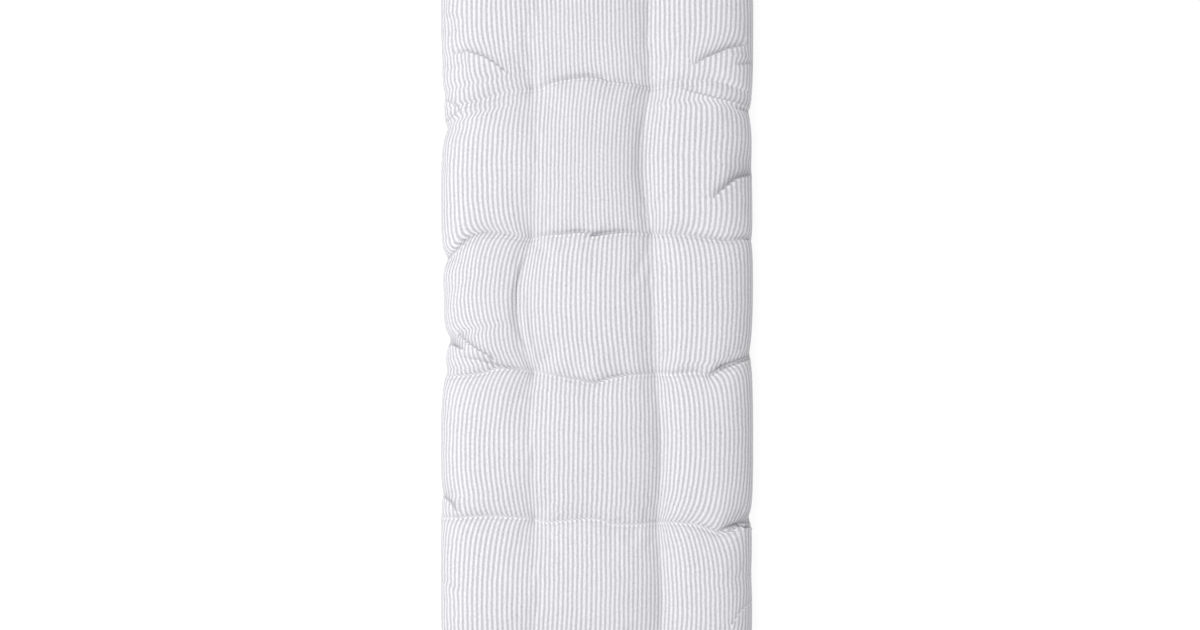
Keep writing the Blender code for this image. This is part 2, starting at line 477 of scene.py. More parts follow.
    def surface(self, x: Array, y: Array, sheet: Sheet) -> Array:
        """Z of the designed form.

        Args:
            x: places across the cushion, in metres.
            y: places along it, in metres.
            sheet: the upper or the lower one.

        Returns:
            The sheet's height at each place, in metres.
        """
        rise = self.rise(self.to_side(x, y)) * self.rise(self.length / 2 - np.abs(y))
        if sheet is Sheet.UPPER:
            height = (self.crown - self.seam_height) * self.valleys(x, y, 1.0) * rise
            return self.seam_height + height - self.dimples(x, y) * rise
        depth = (self.seam_height + self.pressed_flat) * self.valleys(x, y, self.lower_share) * rise
        return np.maximum(0, self.seam_height - depth + self.dimples(x, y) * rise)

    def round_corners(self, x: Array, y: Array) -> tuple[Array, Array]:
        """The same places with the four corners rounded, as a square is mapped onto a circle."""
        out_x = np.clip(1 - self.to_side(x, y) / self.corner_radius, 0, 1)
        out_y = np.clip(1 - (self.length / 2 - np.abs(y)) / self.corner_radius, 0, 1)
        inset_x = self.corner_radius * out_x * (1 - np.sqrt(1 - out_y**2 / 2))
        inset_y = self.corner_radius * out_y * (1 - np.sqrt(1 - out_x**2 / 2))
        return x - np.sign(x) * inset_x, y - np.sign(y) * inset_y

    def gathering(self, x: Array, y: Array) -> Array:
        """Cloth that the stitches take up across the cushion, as a length for each metre of its width."""
        taken = np.zeros_like(x)
        for tuft_x, tuft_y, side, gather in TUFTS:
            outward = (x - tuft_x) * (-1 if side == 0 else 1)
            outer = gather / self.gather_across * np.exp(-np.abs(outward) / self.gather_across)
            inner = self.inner_gather / self.gather_inward * np.exp(-np.abs(outward) / self.gather_inward)
            near = np.exp(-np.abs(y - tuft_y) / self.gather_along)
            taken += np.where(outward > 0, outer, inner) * near
        return taken


class NodeBoard:
    """Adds nodes to a tree and joins them, so that a material reads as a short list of steps."""

    def __init__(self, tree: NodeTree) -> None:
        """Keeps the tree that the nodes go to."""
        self.tree = tree

    def add(self, kind: str, values: dict | None = None, **settings: object) -> Node:
        """A new node.

        Args:
            kind: its type.
            values: numbers, colours or other nodes' outputs for its inputs, by their names or numbers.
            settings: its other settings, such as its operation.

        Returns:
            The node.
        """
        node = self.tree.nodes.new(kind)
        for name, setting in settings.items():
            setattr(node, name, setting)
        self.fill_in(node, values or {})
        return node

    def fill_in(self, node: Node, values: dict) -> None:
        """Links a node's inputs to other nodes' outputs, or sets them to numbers or colours."""
        for name, value in values.items():
            self.feed(node.inputs[name], value)

    def feed(self, socket: NodeSocket, value: object) -> None:
        """Links one input to another node's output, or sets it to a number or a colour."""
        if isinstance(value, NodeSocket):
            self.tree.links.new(value, socket)
        else:
            socket.default_value = value

    def math(self, operation: str, *values: object) -> NodeSocket:
        """The result of a maths node on numbers or sockets."""
        return self.add("ShaderNodeMath", dict(enumerate(values)), operation=operation).outputs[0]

    def ramp(self, value: NodeSocket, low: float, high: float) -> NodeSocket:
        """A smooth step from 0 at low to 1 at high."""
        sockets = {"Value": value, "From Min": low, "From Max": high}
        return self.add("ShaderNodeMapRange", sockets, interpolation_type="SMOOTHSTEP").outputs["Result"]

    def attribute(self, name: str) -> NodeSocket:
        """The value that the mesh keeps under a name."""
        return self.add("ShaderNodeAttribute", attribute_name=name).outputs["Fac"]

    def noise(self, vector: NodeSocket, across: float, along: float, detail: float) -> NodeSocket:
        """Noise whose patches have the given size across and along the cloth, in metres."""
        sockets = {0: vector, 1: (1 / across, 1 / along, 1.0)}
        stretch = self.add("ShaderNodeVectorMath", sockets, operation="MULTIPLY")
        sockets = {"Vector": stretch.outputs["Vector"], "Scale": 1.0, "Detail": detail}
        return self.add("ShaderNodeTexNoise", sockets).outputs["Fac"]

    def patches(self, vector: NodeSocket, kind: "Patches") -> NodeSocket:
        """Where patches of one kind show on the cloth, from 0 to 1."""
        return self.ramp(self.noise(vector, kind.across, kind.along, kind.detail), kind.low, kind.high)

    def mix(self, share: object, first: object, second: object) -> NodeSocket:
        """The first colour at share 0 and the second at share 1."""
        node = self.add("ShaderNodeMix", data_type="RGBA")
        self.feed(node.inputs["Factor"], share)
        colours = [socket for socket in node.inputs if socket.type == "RGBA"]
        self.feed(colours[0], first)
        self.feed(colours[1], second)
        return next(socket for socket in node.outputs if socket.type == "RGBA")

    def tint(self, base: object, other: object, amount: NodeSocket, contrast: float) -> NodeSocket:
        """A colour turned towards another one by an amount times a contrast."""
        return self.mix(self.math("MULTIPLY", amount, contrast), base, other)

    def relief(self, height: NodeSocket, distance: float, strength: float = 1.0) -> NodeSocket:
        """The normal of a fine relief, for a height from -1 to 1 times a distance."""
        sockets = {"Strength": strength, "Distance": distance, "Height": height}
        return self.add("ShaderNodeBump", sockets).outputs["Normal"]


def new_material(name: str) -> tuple[Material, NodeBoard, Node]:
    """A new material, the board for its nodes, and its shader."""
    material = bpy.data.materials.new(name)
    material.use_nodes = True
    return material, NodeBoard(material.node_tree), material.node_tree.nodes["Principled BSDF"]


def add_object(name: str, data: object) -> Object:
    """A new object in the scene."""
    added = bpy.data.objects.new(name, data)
    bpy.context.scene.collection.objects.link(added)
    return added


@dataclass(frozen=True)
class ClothMap:
    """How the flat cloth lies in the UV map: both panels side by side inside the unit square."""

    name: str = "flat"
    # Names of the mesh's values for the painted highlight on the creases' lips and the painted shade in them
    lip: str = "painted_crease_highlight"
    shade: str = "painted_crease_shade"
    span: float = 1.4
    stripes_between: int = 80
    margin: float = 0.01

    def place(self, form: CushionForm, flat: Array, sheet: Sheet) -> Array:
        """UV coordinates of places on the flat cloth.

        Args:
            form: gives the stripes' pitch.
            flat: places on the flat cloth, in metres, one row each.
            sheet: the panel that they are on.

        Returns:
            Their coordinates in the UV map, one row each.
        """
        aside = 0 if sheet is Sheet.UPPER else self.stripes_between * form.stripe_pitch
        corner = np.array((form.cut_lines()[3] + aside, form.length * form.cloth_per_length / 2))
        return (flat + corner) / self.span + self.margin


@dataclass(frozen=True)
class Patches:
    """Uneven patches in the cloth: their size, in metres, and the noise that shows as them.

    Detail is how finely the noise is broken up. It starts to show at its low value and shows fully at its
    high one.
    """

    across: float
    along: float
    detail: float
    low: float
    high: float


@dataclass(frozen=True)
class StripedCotton:
    """White cotton with fine grey-blue stripes, woven from uneven yarn. Colours are linear."""

    white: Colour = (0.88, 0.877, 0.91, 1.0)
    grey: Colour = (0.515, 0.51, 0.54, 1.0)
    fleck: Colour = (0.31, 0.31, 0.34, 1.0)
    # Dark specks in the yarn; the same colour is the painted shade in the creases
    speck_and_painted_shade: Colour = (0.22, 0.22, 0.25, 1.0)
    # Painted highlight: the white of the white stripes where a crease's lower lip catches the light
    painted_highlight_white: Colour = (0.98, 0.98, 0.985, 1.0)
    stripe_share: float = 0.50
    stripe_softness: float = 0.16
    # How much the grey stripes widen where the crease shade is painted: partly the stripes bunching into the
    # crease, partly more painted shade
    stripe_flare: float = 0.08
    half_turn: float = 0.5
    edge_wander: float = 1.0 * MM
    wander_size: float = 2.2 * MM
    drift: float = 2.4 * MM
    drift_size: float = 38 * MM
    wander_detail: float = 1.0
    slubs: Patches = Patches(1.5 * MM, 3.6 * MM, 3.0, 0.54, 0.70)
    yarns: Patches = Patches(1.1 * MM, 1.8 * MM, 2.0, 0.35, 0.65)
    mottle: Patches = Patches(2.0 * MM, 3.8 * MM, 2.0, 0.38, 0.66)
    specks: Patches = Patches(1.4 * MM, 1.4 * MM, 1.0, 0.62, 0.72)
    clouds: Patches = Patches(45 * MM, 45 * MM, 2.0, 0.30, 0.70)
    yarn_contrast: float = 0.30
    yarn_contrast_in_white: float = 0.10
    mottle_contrast: float = 0.31
    speck_contrast: float = 0.37
    cloud_contrast: float = 0.06
    # How far the painted shade in the creases turns the colour towards the specks' colour
    painted_crease_shade: float = 0.35
    yarn_pitch: float = 0.55 * MM
    weave_relief: float = 0.12 * MM
    relief_strength: float = 0.6
    slub_relief: float = 1.5
    roughness: float = 0.92
    sheen: float = 0.15

    def material(self, form: CushionForm, atlas: ClothMap) -> Material:
        """The cover's material, drawn on the flat cloth.

        Args:
            form: gives the stripes' pitch.
            atlas: says how the cloth lies in the UV map.

        Returns:
            The new material.
        """
        material, board, shader = new_material("striped_cotton")
        flat = board.add("ShaderNodeUVMap", uv_map=atlas.name)
        sockets = {0: flat.outputs["UV"], "Scale": atlas.span}
        cloth = board.add("ShaderNodeVectorMath", sockets, operation="SCALE").outputs["Vector"]
        place = board.add("ShaderNodeSeparateXYZ", {0: cloth}).outputs
        # Painted highlight on the creases' lower lips (raised) and painted shade in the creases (sunk), as
        # kept on the mesh
        raised, sunk = board.attribute(atlas.lip), board.attribute(atlas.shade)

        across = place["X"]
        for size, reach in ((self.wander_size, self.edge_wander), (self.drift_size, self.drift)):
            wander = board.noise(cloth, size, size, self.wander_detail)
            across = board.math("MULTIPLY_ADD", wander, reach, across)
        turns = board.math("PINGPONG", board.math("DIVIDE", across, form.stripe_pitch), self.half_turn)
        # Where the shade is painted the grey stripes widen: partly the stripes bunching into the crease,
        # partly more painted shade
        wave = board.math("MULTIPLY_ADD", sunk, self.stripe_flare, turns)
        edge = (1 - self.stripe_share) / 2
        soft = self.stripe_softness / 2
        mask = board.ramp(wave, edge - soft, edge + soft)

        kinds = (self.slubs, self.yarns, self.mottle, self.specks, self.clouds)
        slubs, yarns, mottle, specks, clouds = (board.patches(cloth, kind) for kind in kinds)
        grey = board.mix(slubs, self.grey, self.fleck)
        grey = board.tint(grey, self.white, yarns, self.yarn_contrast)
        white = board.tint(self.white, self.grey, yarns, self.yarn_contrast_in_white)
        # White stripes turn towards the painted highlight on the creases' lips
        colour = board.mix(mask, board.mix(raised, white, self.painted_highlight_white), grey)
        for other, amount, contrast in (
            (self.grey, mottle, self.mottle_contrast),
            (self.speck_and_painted_shade, specks, self.speck_contrast),
            (self.white, clouds, self.cloud_contrast),
            # Painted shade in the creases
            (self.speck_and_painted_shade, sunk, self.painted_crease_shade),
        ):
            colour = board.tint(colour, other, amount, contrast)

        turn = math.tau / self.yarn_pitch
        waves = [board.math("SINE", board.math("MULTIPLY", place[axis], turn)) for axis in "XY"]
        slub_height = board.math("MULTIPLY", slubs, self.slub_relief)
        height = board.math("ADD", board.math("MULTIPLY", *waves), slub_height)
        finish = {
            "Base Color": colour,
            "Normal": board.relief(height, self.weave_relief, self.relief_strength),
            "Roughness": self.roughness,
            "Sheen Weight": self.sheen,
        }
        board.fill_in(shader, finish)
        return material


@dataclass(frozen=True)
class CottonThread:
    """Strong off-white thread, twisted from a few strands. The colours are linear."""

    colour: Colour = (0.80, 0.80, 0.78, 1.0)
    # Painted shade in the grooves between the strands
    painted_shade_between_strands: Colour = (0.62, 0.62, 0.60, 1.0)
    slant: tuple[float, float, float] = (1.0, 1.0, 1.0)
    twist: float = 0.9 * MM
    relief: float = 0.08 * MM
    roughness: float = 0.8

    def material(self) -> Material:
        """The thread's material, with the twist of its strands, as a relief and as painted shade between
        them.
        """
        material, board, shader = new_material("cotton_thread")
        sockets = {0: board.add("ShaderNodeTexCoord").outputs["Object"], 1: self.slant}
        along = board.add("ShaderNodeVectorMath", sockets, operation="DOT_PRODUCT").outputs["Value"]
        strands = board.math("SINE", board.math("MULTIPLY", along, math.tau / self.twist))
        finish = {
            "Base Color": board.mix(board.ramp(strands, -1.0, 1.0), self.painted_shade_between_strands, self.colour),
            "Normal": board.relief(strands, self.relief),
            "Roughness": self.roughness,
        }
        board.fill_in(shader, finish)
        return material


@dataclass
class Weave:
    """The mesh lines of a sheet: how many there are in each span, and how they crowd at its ends."""

    across: tuple[int, ...]
    along: tuple[int, ...]
    crowding_across: float
    crowding_along: float

    def graded(self, steps: int, crowding: float) -> Array:
        """Shares of a span, from 0 to nearly 1, with the steps closest together at both of its ends."""
        even = np.arange(steps) / steps
        return (1 - crowding) * even + crowding * (1 - np.cos(math.pi * even)) / 2

    def lines(self) -> list[Array]:
        """Places of the lines across and along the cloth, both counted in spans."""
        both = []
        for spans, crowding in ((self.across, self.crowding_across), (self.along, self.crowding_along)):
            places = [index + self.graded(steps, crowding) for index, steps in enumerate(spans)]
            both.append(np.append(np.concatenate(places), len(spans)))
        return both


@dataclass
class Sheets:
    """Both sheets of the cover as grids of points, and the flat cloth that those were cut from."""

    upper: Array
    lower: Array
    flat: Array

    def rim(self) -> Array:
        """Which points of a grid lie on the edge seam, where the sheets meet."""
        edge = np.zeros(self.upper.shape[:2], bool)
        edge[0] = edge[-1] = True
        edge[:, 0] = edge[:, -1] = True
        return edge

    def finer(self, old: Weave, new: Weave) -> "Sheets":
        """The same sheets on other mesh lines, along smooth curves through the points.

        Args:
            old: the mesh lines that the sheets have now.
            new: the mesh lines that they get.

        Returns:
            The new grids.
        """
        places = [
            np.interp(fine, coarse, np.arange(len(coarse)))
            for fine, coarse in zip(new.lines(), old.lines())
        ]

        def resample(grid: Array) -> Array:
            """One grid on the new lines."""
            return smooth_between(smooth_between(grid, places[1]).swapaxes(0, 1), places[0]).swapaxes(0, 1)

        return Sheets(resample(self.upper), resample(self.lower), resample(self.flat))

    def pinch_seam(self, depth: float, inside: int) -> None:
        """Draws the edge seam in, between the two sheets that swell over it.

        Args:
            depth: how far it is drawn in, in metres.
            inside: how many lines in from the rim the sheets show which way is inwards.
        """
        sides = (
            (np.s_[0, :], np.s_[inside, :]),
            (np.s_[-1, :], np.s_[-1 - inside, :]),
            (np.s_[:, 0], np.s_[:, inside]),
            (np.s_[:, -1], np.s_[:, -1 - inside]),
        )
        for seam, inner in sides:
            inward = (self.upper[inner] + self.lower[inner]) / 2 - self.upper[seam]
            inward /= np.linalg.norm(inward, axis=1)[:, None]
            self.upper[seam] += depth * inward
            self.lower[seam] = self.upper[seam]

    def seam_loop(self) -> Array:
        """Places of the edge seam, once round the cushion from one corner, one row each."""
        return np.concatenate(
            (self.upper[0, :-1], self.upper[:-1, -1], self.upper[-1, :0:-1], self.upper[:0:-1, 0])
        )

    def sew(self, name: str, skip: int) -> tuple[Mesh, Array, int]:
        """Both sheets as one mesh, sewn together round the edge.

        Args:
            name: the mesh's name.
            skip: inside its rim, the lower sheet keeps one line in this many.

        Returns:
            The mesh, the flat cloth under each of its points, and the number of corners of the upper
            sheet's faces.
        """
        rim = self.rim()
        rows, columns = rim.shape
        upper = np.arange(rows * columns).reshape(rows, columns)
        kept = np.zeros(rim.shape, bool)
        kept[::skip, ::skip] = True
        kept &= ~rim
        lower = upper.copy()
        lower[kept] = rows * columns + np.arange(np.count_nonzero(kept))
        corners = (upper[:-1, :-1], upper[:-1, 1:], upper[1:, 1:], upper[1:, :-1])
        faces = np.stack([corner.ravel() for corner in corners], axis=-1).tolist()
        upper_corners = len(faces) * len(corners)
        for row in range(0, rows - 1, skip):
            for column in range(0, columns - 1, skip):
                faces.append(lower_face(lower, row, column, skip))
        points = np.concatenate((self.upper.reshape(-1, 3), self.lower[kept]))
        mesh = bpy.data.meshes.new(name)
        mesh.from_pydata(points.tolist(), [], faces)
        mesh.update()
        return mesh, np.concatenate((self.flat.reshape(-1, 2), self.flat[kept])), upper_corners


def read_points(mesh: Mesh) -> tuple[Array, Array]:
    """Places and normals of a mesh's points, one row each."""
    points = np.empty(len(mesh.vertices) * 3, np.float32)
    normals = np.empty(len(mesh.vertices) * 3, np.float32)
    mesh.vertices.foreach_get("co", points)
    mesh.vertex_normals.foreach_get("vector", normals)
    return points.reshape(-1, 3), normals.reshape(-1, 3)


def face_corners(mesh: Mesh) -> Array:
    """The number of the point at each corner of a mesh's faces."""
    numbers = np.empty(len(mesh.loops), np.int32)
    mesh.loops.foreach_get("vertex_index", numbers)
    return numbers


def smooth_between(values: Array, places: Array) -> Array:
    """Values between the rows of an array, on a smooth curve through them.

    Args:
        values: the array.
        places: where to read it, counted in rows.

    Returns:
        One row for each place.
    """
    base = np.clip(places.astype(int), 0, len(values) - 2)
    share = (places - base).reshape(-1, *[1] * (values.ndim - 1))
    before, here = values[np.maximum(base - 1, 0)], values[base]
    after, beyond = values[base + 1], values[np.minimum(base + 2, len(values) - 1)]
    slope_here, slope_after = (after - before) / 2, (beyond - here) / 2
    return (
        here * (1 + 2 * share) * (1 - share) ** 2
        + slope_here * share * (1 - share) ** 2
        + after * share**2 * (3 - 2 * share)
        + slope_after * share**2 * (share - 1)
    )


def lower_face(index: Array, row: int, column: int, skip: int) -> list[int]:
    """One face of the lower sheet, seen from below, with every point of the rim that its sides pass.

    Args:
        index: the number of each point of the sheet.
        row: the face's first line along the cloth.
        column: its first line across it.
        skip: the number of lines that it spans.

    Returns:
        The numbers of its points, in order.
    """
    last_row, last_column = index.shape[0] - 1, index.shape[1] - 1
    far_row, far_column = row + skip, column + skip
    face = [index[row, column]]
    if row == 0:
        face += index[row, column + 1 : far_column].tolist()
    face.append(index[row, far_column])
    if far_column == last_column:
        face += index[row + 1 : far_row, far_column].tolist()
    face.append(index[far_row, far_column])
    if far_row == last_row:
        face += index[far_row, column + 1 : far_column][::-1].tolist()
    face.append(index[far_row, column])
    if column == 0:
        face += index[row + 1 : far_row, column][::-1].tolist()
    return [int(point) for point in reversed(face)]


@dataclass
class Cover:
    """The striped cotton cover, filled: one closed body made from an upper and a lower sheet."""

    form: CushionForm
    atlas: ClothMap
    loose: Weave
    fine: Weave
    frames: int = 30
    quality: int = 4
    stuffing: float = 1.06
    stuffing_stiffness: float = 4000.0
    motion_cap: float = 22 * MM
    smallest_move: float = 0.001 * MM
    hold_free: float = 0.04
    hold_crease: float = 0.26
    hold_seam: float = 0.25
    hold_belly: float = 0.20
    belly_height: float = 1 * MM
    hold_valley: float = 0.22
    valley_reach: float = 14 * MM
    crease_reach: float = 4 * MM
    half_apart: float = 1.5 * MM
    point_mass: float = 0.01
    stretch_stiffness: float = 600.0
    shear_stiffness: float = 40.0
    bending_stiffness: float = 0.012
    pin_stiffness: float = 40.0
    samples: int = 400
    firmness: float = 0.6
    upward: float = 0.3
    lower_skip: int = 4
    seam_pinch: float = 1.5 * MM
    pinch_inside: int = 5
    fine_reaches: tuple[float, ...] = (5 * MM, 2.4 * MM)
    fine_depth: float = 1.2
    row_fine_reach: float = 2.6 * MM
    camera_distance: float = 3.655
    wall_half_width: float = 0.8 * MM
    row_dive: float = 3.6 * MM
    row_lip: float = 1.2 * MM
    row_reach: float = 3.6 * MM
    fold_dive: float = 0.9 * MM
    fold_lip: float = 0.5 * MM
    # How dark the painted shade in a fold gets, for its depth
    fold_shade: float = 0.5
    slide_turn: float = 0.8 * MM
    soft_turn: float = 5 * MM
    # Painted highlight on a crease's lower lip: its place, width and strength; then painted shade in the
    # crease and in a thin line below the highlight
    bead_place: float = -1.6 * MM
    bead_width: float = 1.35 * MM
    bead_share: float = 0.5
    bead_rise: float = 3.0
    below_beads_place: float = -4.1 * MM
    below_beads_width: float = 1.0 * MM
    below_beads_shade: float = 0.35
    shade_reach: float = 2.0 * MM
    darkest_shade: float = 1.7
    ripple_height: float = 0.5 * MM
    ripple_slide: float = 1.0 * MM
    ripple_reach: float = 19 * MM
    ripple_slant: float = 0.7
    ripple_lengths: tuple[float, ...] = (34 * MM, 21 * MM, 14.5 * MM)

    def lay_line(self, across: Array, along: float) -> tuple[Array, Array]:
        """Plan of one mesh line across the cushion, with the cloth laid out by its length on the surface.

        Args:
            across: places across the cloth, counted in spans.
            along: the line's place along the cloth, counted in panels.

        Returns:
            X and Y of each place, in metres.
        """
        form = self.form
        panel = min(int(along), len(PANELS) - 1)
        share = along - panel

        def line_y(x: Array) -> Array:
            """Y of the mesh line at each x."""
            near, far = form.row_line(panel, x), form.row_line(panel + 1, x)
            return near + (far - near) * share

        ends = np.array((-form.width / 2, form.width / 2))
        edge_y = line_y(ends)
        left, right = -form.edge(0, edge_y[:1])[0], form.edge(1, edge_y[1:])[0]
        x = left + (right - left) * (1 - np.cos(math.pi * np.linspace(0, 1, self.samples))) / 2
        y = line_y(x)
        steps = np.diff(x)
        used = np.hypot(steps, np.diff(form.surface(x, y, Sheet.UPPER)))
        used += form.gathering((x[1:] + x[:-1]) / 2, (y[1:] + y[:-1]) / 2) * steps
        cloth = np.concatenate(((0.0,), np.cumsum(used)))
        tufts_y = line_y(np.array((form.left_column, form.right_column)))
        columns = [form.column(side, tufts_y)[side] for side in SIDES]
        stops = np.interp((left, *columns, right), x, cloth)
        laid_x = np.interp(np.interp(across, range(len(stops)), stops), cloth, x)
        return laid_x, np.interp(laid_x, x, y)

    def design(self, x: Array, y: Array, sheet: Sheet) -> Array:
        """The designed form of one sheet: one row of X, Y and Z for each place of the plan."""
        z = self.form.surface(x, y, sheet)
        rounded_x, rounded_y = self.form.round_corners(x, y)
        return np.stack((rounded_x, rounded_y, z), axis=-1)

    def cut(self) -> Sheets:
        """Both sheets, laid out over the designed form."""
        across, along = self.loose.lines()
        lines = [self.lay_line(across, place) for place in along.tolist()]
        x, y = (np.array([line[axis] for line in lines]) for axis in (0, 1))
        cuts = self.form.cut_lines()
        flat_x = np.broadcast_to(np.interp(across, range(len(cuts)), cuts), x.shape)
        flat = np.stack((flat_x, y * self.form.cloth_per_length), axis=-1)
        return Sheets(self.design(x, y, Sheet.UPPER), self.design(x, y, Sheet.LOWER), flat)

    def map_cloth(self, mesh: Mesh, cloth: Array, upper_corners: int) -> None:
        """Writes the flat cloth into the mesh's UV map: first the upper sheet's corners, then the rest."""
        upper, lower = np.split(cloth[face_corners(mesh)], [upper_corners])
        panels = ((upper, Sheet.UPPER), (lower, Sheet.LOWER))
        places = np.concatenate([self.atlas.place(self.form, flat, sheet) for flat, sheet in panels])
        layer = mesh.uv_layers.new(name=self.atlas.name)
        layer.data.foreach_set("uv", places.astype(np.float32).ravel())

    def holding(self, points: Array, rim: Array) -> Array:
        """How firmly each point is held while the cover is filled: stitches fully, and the rest softly.

        Args:
            points: the designed form, upper sheet first.
            rim: which points of the upper sheet lie on the edge seam.

        Returns:
            A weight from 0 to 1 for each point.
        """
        x, y, z = points.T
        near_row = np.exp(-((to_nearest_row(x, y) / self.crease_reach) ** 2))
        held = self.hold_free + (self.hold_crease - self.hold_free) * near_row
        for side in SIDES:
            to_valley = x - self.form.column(side, y)
            near_valley = np.exp(-((to_valley / self.valley_reach) ** 2)) * self.form.sharpness(side, y)
            held = np.maximum(held, self.hold_free + (self.hold_valley - self.hold_free) * near_valley)
        belly = (np.arange(len(points)) >= len(rim)) & (z < self.belly_height)
        held[belly] = np.maximum(held[belly], self.hold_belly)
        held[: len(rim)][rim] = self.hold_seam
        for tuft_x, tuft_y, _, _ in TUFTS:
            away = np.hypot(x - tuft_x, y - tuft_y)
            for first, last in ((0, len(rim)), (len(rim), len(points))):
                held[first + int(np.argmin(away[first:last]))] = 1.0
        return held

    def fill(self, sheets: Sheets) -> Sheets:
        """Fills the cover: pressure swells the cloth as it was cut, while the stitches hold it down.

        Args:
            sheets: the designed form, and the flat cloth.

        Returns:
            The sheets as they settle.
        """
        mesh, cloth, _ = sheets.sew("loose_cover", 1)
        piece = add_object("loose_cover", mesh)
        rim = sheets.rim()
        count = rim.size
        points = np.empty(len(mesh.vertices) * 3, np.float32)
        mesh.vertices.foreach_get("co", points)
        start = points.reshape(-1, 3).astype(float)
        held = self.holding(start, rim.ravel())
        upward = np.where(np.arange(len(cloth)) < count, self.half_apart, -self.half_apart)
        piece.shape_key_add(name="designed")
        pattern = piece.shape_key_add(name="cut flat")
        pattern.data.foreach_set("co", np.column_stack((cloth, upward)).astype(np.float32).ravel())
        pattern.value = 0.0
        group = piece.vertex_groups.new(name="held")
        for index, weight in enumerate(held.tolist()):
            group.add([index], weight, "REPLACE")
        filling = piece.modifiers.new("filling", "CLOTH")
        settings = filling.settings
        settings.quality = self.quality
        settings.mass = self.point_mass
        settings.tension_stiffness = self.stretch_stiffness
        settings.compression_stiffness = self.stretch_stiffness
        settings.shear_stiffness = self.shear_stiffness
        settings.bending_stiffness = self.bending_stiffness
        settings.use_pressure = True
        settings.uniform_pressure_force = 0.0
        settings.use_pressure_volume = True
        settings.target_volume = self.stuffing * self.volume(mesh)
        settings.pressure_factor = self.stuffing_stiffness
        settings.vertex_group_mass = group.name
        settings.pin_stiffness = self.pin_stiffness
        settings.rest_shape_key = pattern
        settings.effector_weights.gravity = 0.0
        filling.collision_settings.use_collision = False
        filling.collision_settings.use_self_collision = False
        filling.point_cache.frame_start = 1
        filling.point_cache.frame_end = self.frames
        scene = bpy.context.scene
        for frame_number in range(1, self.frames + 1):
            scene.frame_set(frame_number)
        graph = bpy.context.evaluated_depsgraph_get()
        piece.evaluated_get(graph).data.vertices.foreach_get("co", points)
        moved = points.reshape(-1, 3) - start
        far = np.linalg.norm(moved, axis=1)
        LOG.info("filling moved the cloth by %.1f mm at most", far.max() / MM)
        share = np.minimum(1, self.motion_cap / np.maximum(far, self.smallest_move))
        settled = start + moved * share[:, None]
        bpy.data.objects.remove(piece)
        bpy.data.meshes.remove(mesh)
        scene.frame_set(1)
        upper = settled[:count].reshape(sheets.upper.shape)
        lower = upper.copy()
        lower[~rim] = settled[count:]
        return Sheets(upper, lower, sheets.flat)

    def volume(self, mesh: Mesh) -> float:
        """Volume inside the cover, in cubic metres."""
        body = bmesh.new()
        body.from_mesh(mesh)
        inside = body.calc_volume()
        body.free()
        LOG.info("the cover holds %.1f litres", inside / LITRE)
        return inside

    def seen(self, points: Array) -> tuple[Array, Array]:
        """X and Y of places as the camera sees them, on the plane that the creases were measured in."""
        nearer = 1 + (points[:, 2] - MEASURED_HEIGHT) / self.camera_distance
        return points[:, 0] * nearer, points[:, 1] * nearer

    def cut_finer(self, mesh: Mesh) -> None:
        """Halves the upper sheet's mesh steps along the creases, and twice along the listed folds."""
        body = bmesh.new()
        body.from_mesh(mesh)
        for reach in (None, *self.fine_reaches):
            body.normal_update()
            x, y = self.seen(np.array([vertex.co for vertex in body.verts]))
            faces_up = np.array([vertex.normal.z > self.upward for vertex in body.verts])
            near = np.zeros(len(x), bool)
            if reach is None:
                for row in TUFT_ROWS:
                    near |= np.abs(row.away(x, y)) < self.row_fine_reach
            else:
                for fold in HAND_CREASES:
                    if fold.depth >= self.fine_depth:
                        near |= np.abs(fold.measure(x, y)[0]) < reach
            near &= faces_up
            edges = []
            for edge in body.edges:
                first, last = (vertex.index for vertex in edge.verts)
                lengthwise = abs(y[last] - y[first]) > abs(x[last] - x[first])
                if near[first] and near[last] and (lengthwise or reach is not None):
                    edges.append(edge)
            bmesh.ops.subdivide_edges(body, edges=edges, cuts=1, use_grid_fill=True)
            body.verts.index_update()
        body.to_mesh(mesh)
        body.free()

    def pressed(self, away: Array, reach: float) -> tuple[Array, Array]:
        """A crease's profile: the cloth above it dives under the lip of the cloth below it.

        Args:
            away: distances from the crease, in metres, positive above it.
            reach: how far the dive and the lip reach, in metres.

        Returns:
            The dive and the lip, each from 0 to 1.
        """
        above = share_above(away, self.wall_half_width)
        fades = np.exp(-np.abs(away) / reach)
        return above * fades, (1 - above) * fades

    def bump(self, away: Array, place: float, width: float) -> Array:
        """A smooth bump beside a crease, 1 at its place and fading over its width, for distances from it."""
        return np.exp(-(((away - place) / width) ** 2))

    def ripples(self, x: Array, y: Array) -> tuple[Array, Array]:
        """Small ripples of the cloth along both long edges: how far it stands out and is pulled sideways.

        Args:
            x: places across the cushion, in metres.
            y: places along it, in metres.

        Returns:
            Both, from -1 to 1 at the edge and fading inwards.
        """
        near = np.exp((np.abs(x) - self.form.width / 2) / self.ripple_reach)
        waves = [
            math.tau * (y + self.ripple_slant * x) / length + index
            for index, length in enumerate(self.ripple_lengths)
        ]
        raised = sum(np.sin(wave) for wave in waves) / len(waves)
        pulled = sum(np.cos(wave + x / self.form.width) for wave in waves) / len(waves)
        return raised * near, pulled * near

    def crease(self, mesh: Mesh) -> None:
        """Presses the rows' creases and the listed folds into the upper sheet, slides its cloth, and paints a
        highlight on each crease's lower lip and shade in and below it.
        """
        points, normals = read_points(mesh)
        x, y = self.seen(points.astype(float))
        facing = np.clip(normals[:, 2] / self.upward, 0, 1)
        shift, lip, shade, slide = (np.zeros(len(points)) for _ in range(4))
        for row in TUFT_ROWS:
            crisp = row.crispness(x)
            away = row.away(x, y)
            dive, rolled = self.pressed(away, self.row_reach)
            shift += crisp * (self.row_lip * rolled - self.row_dive * dive)
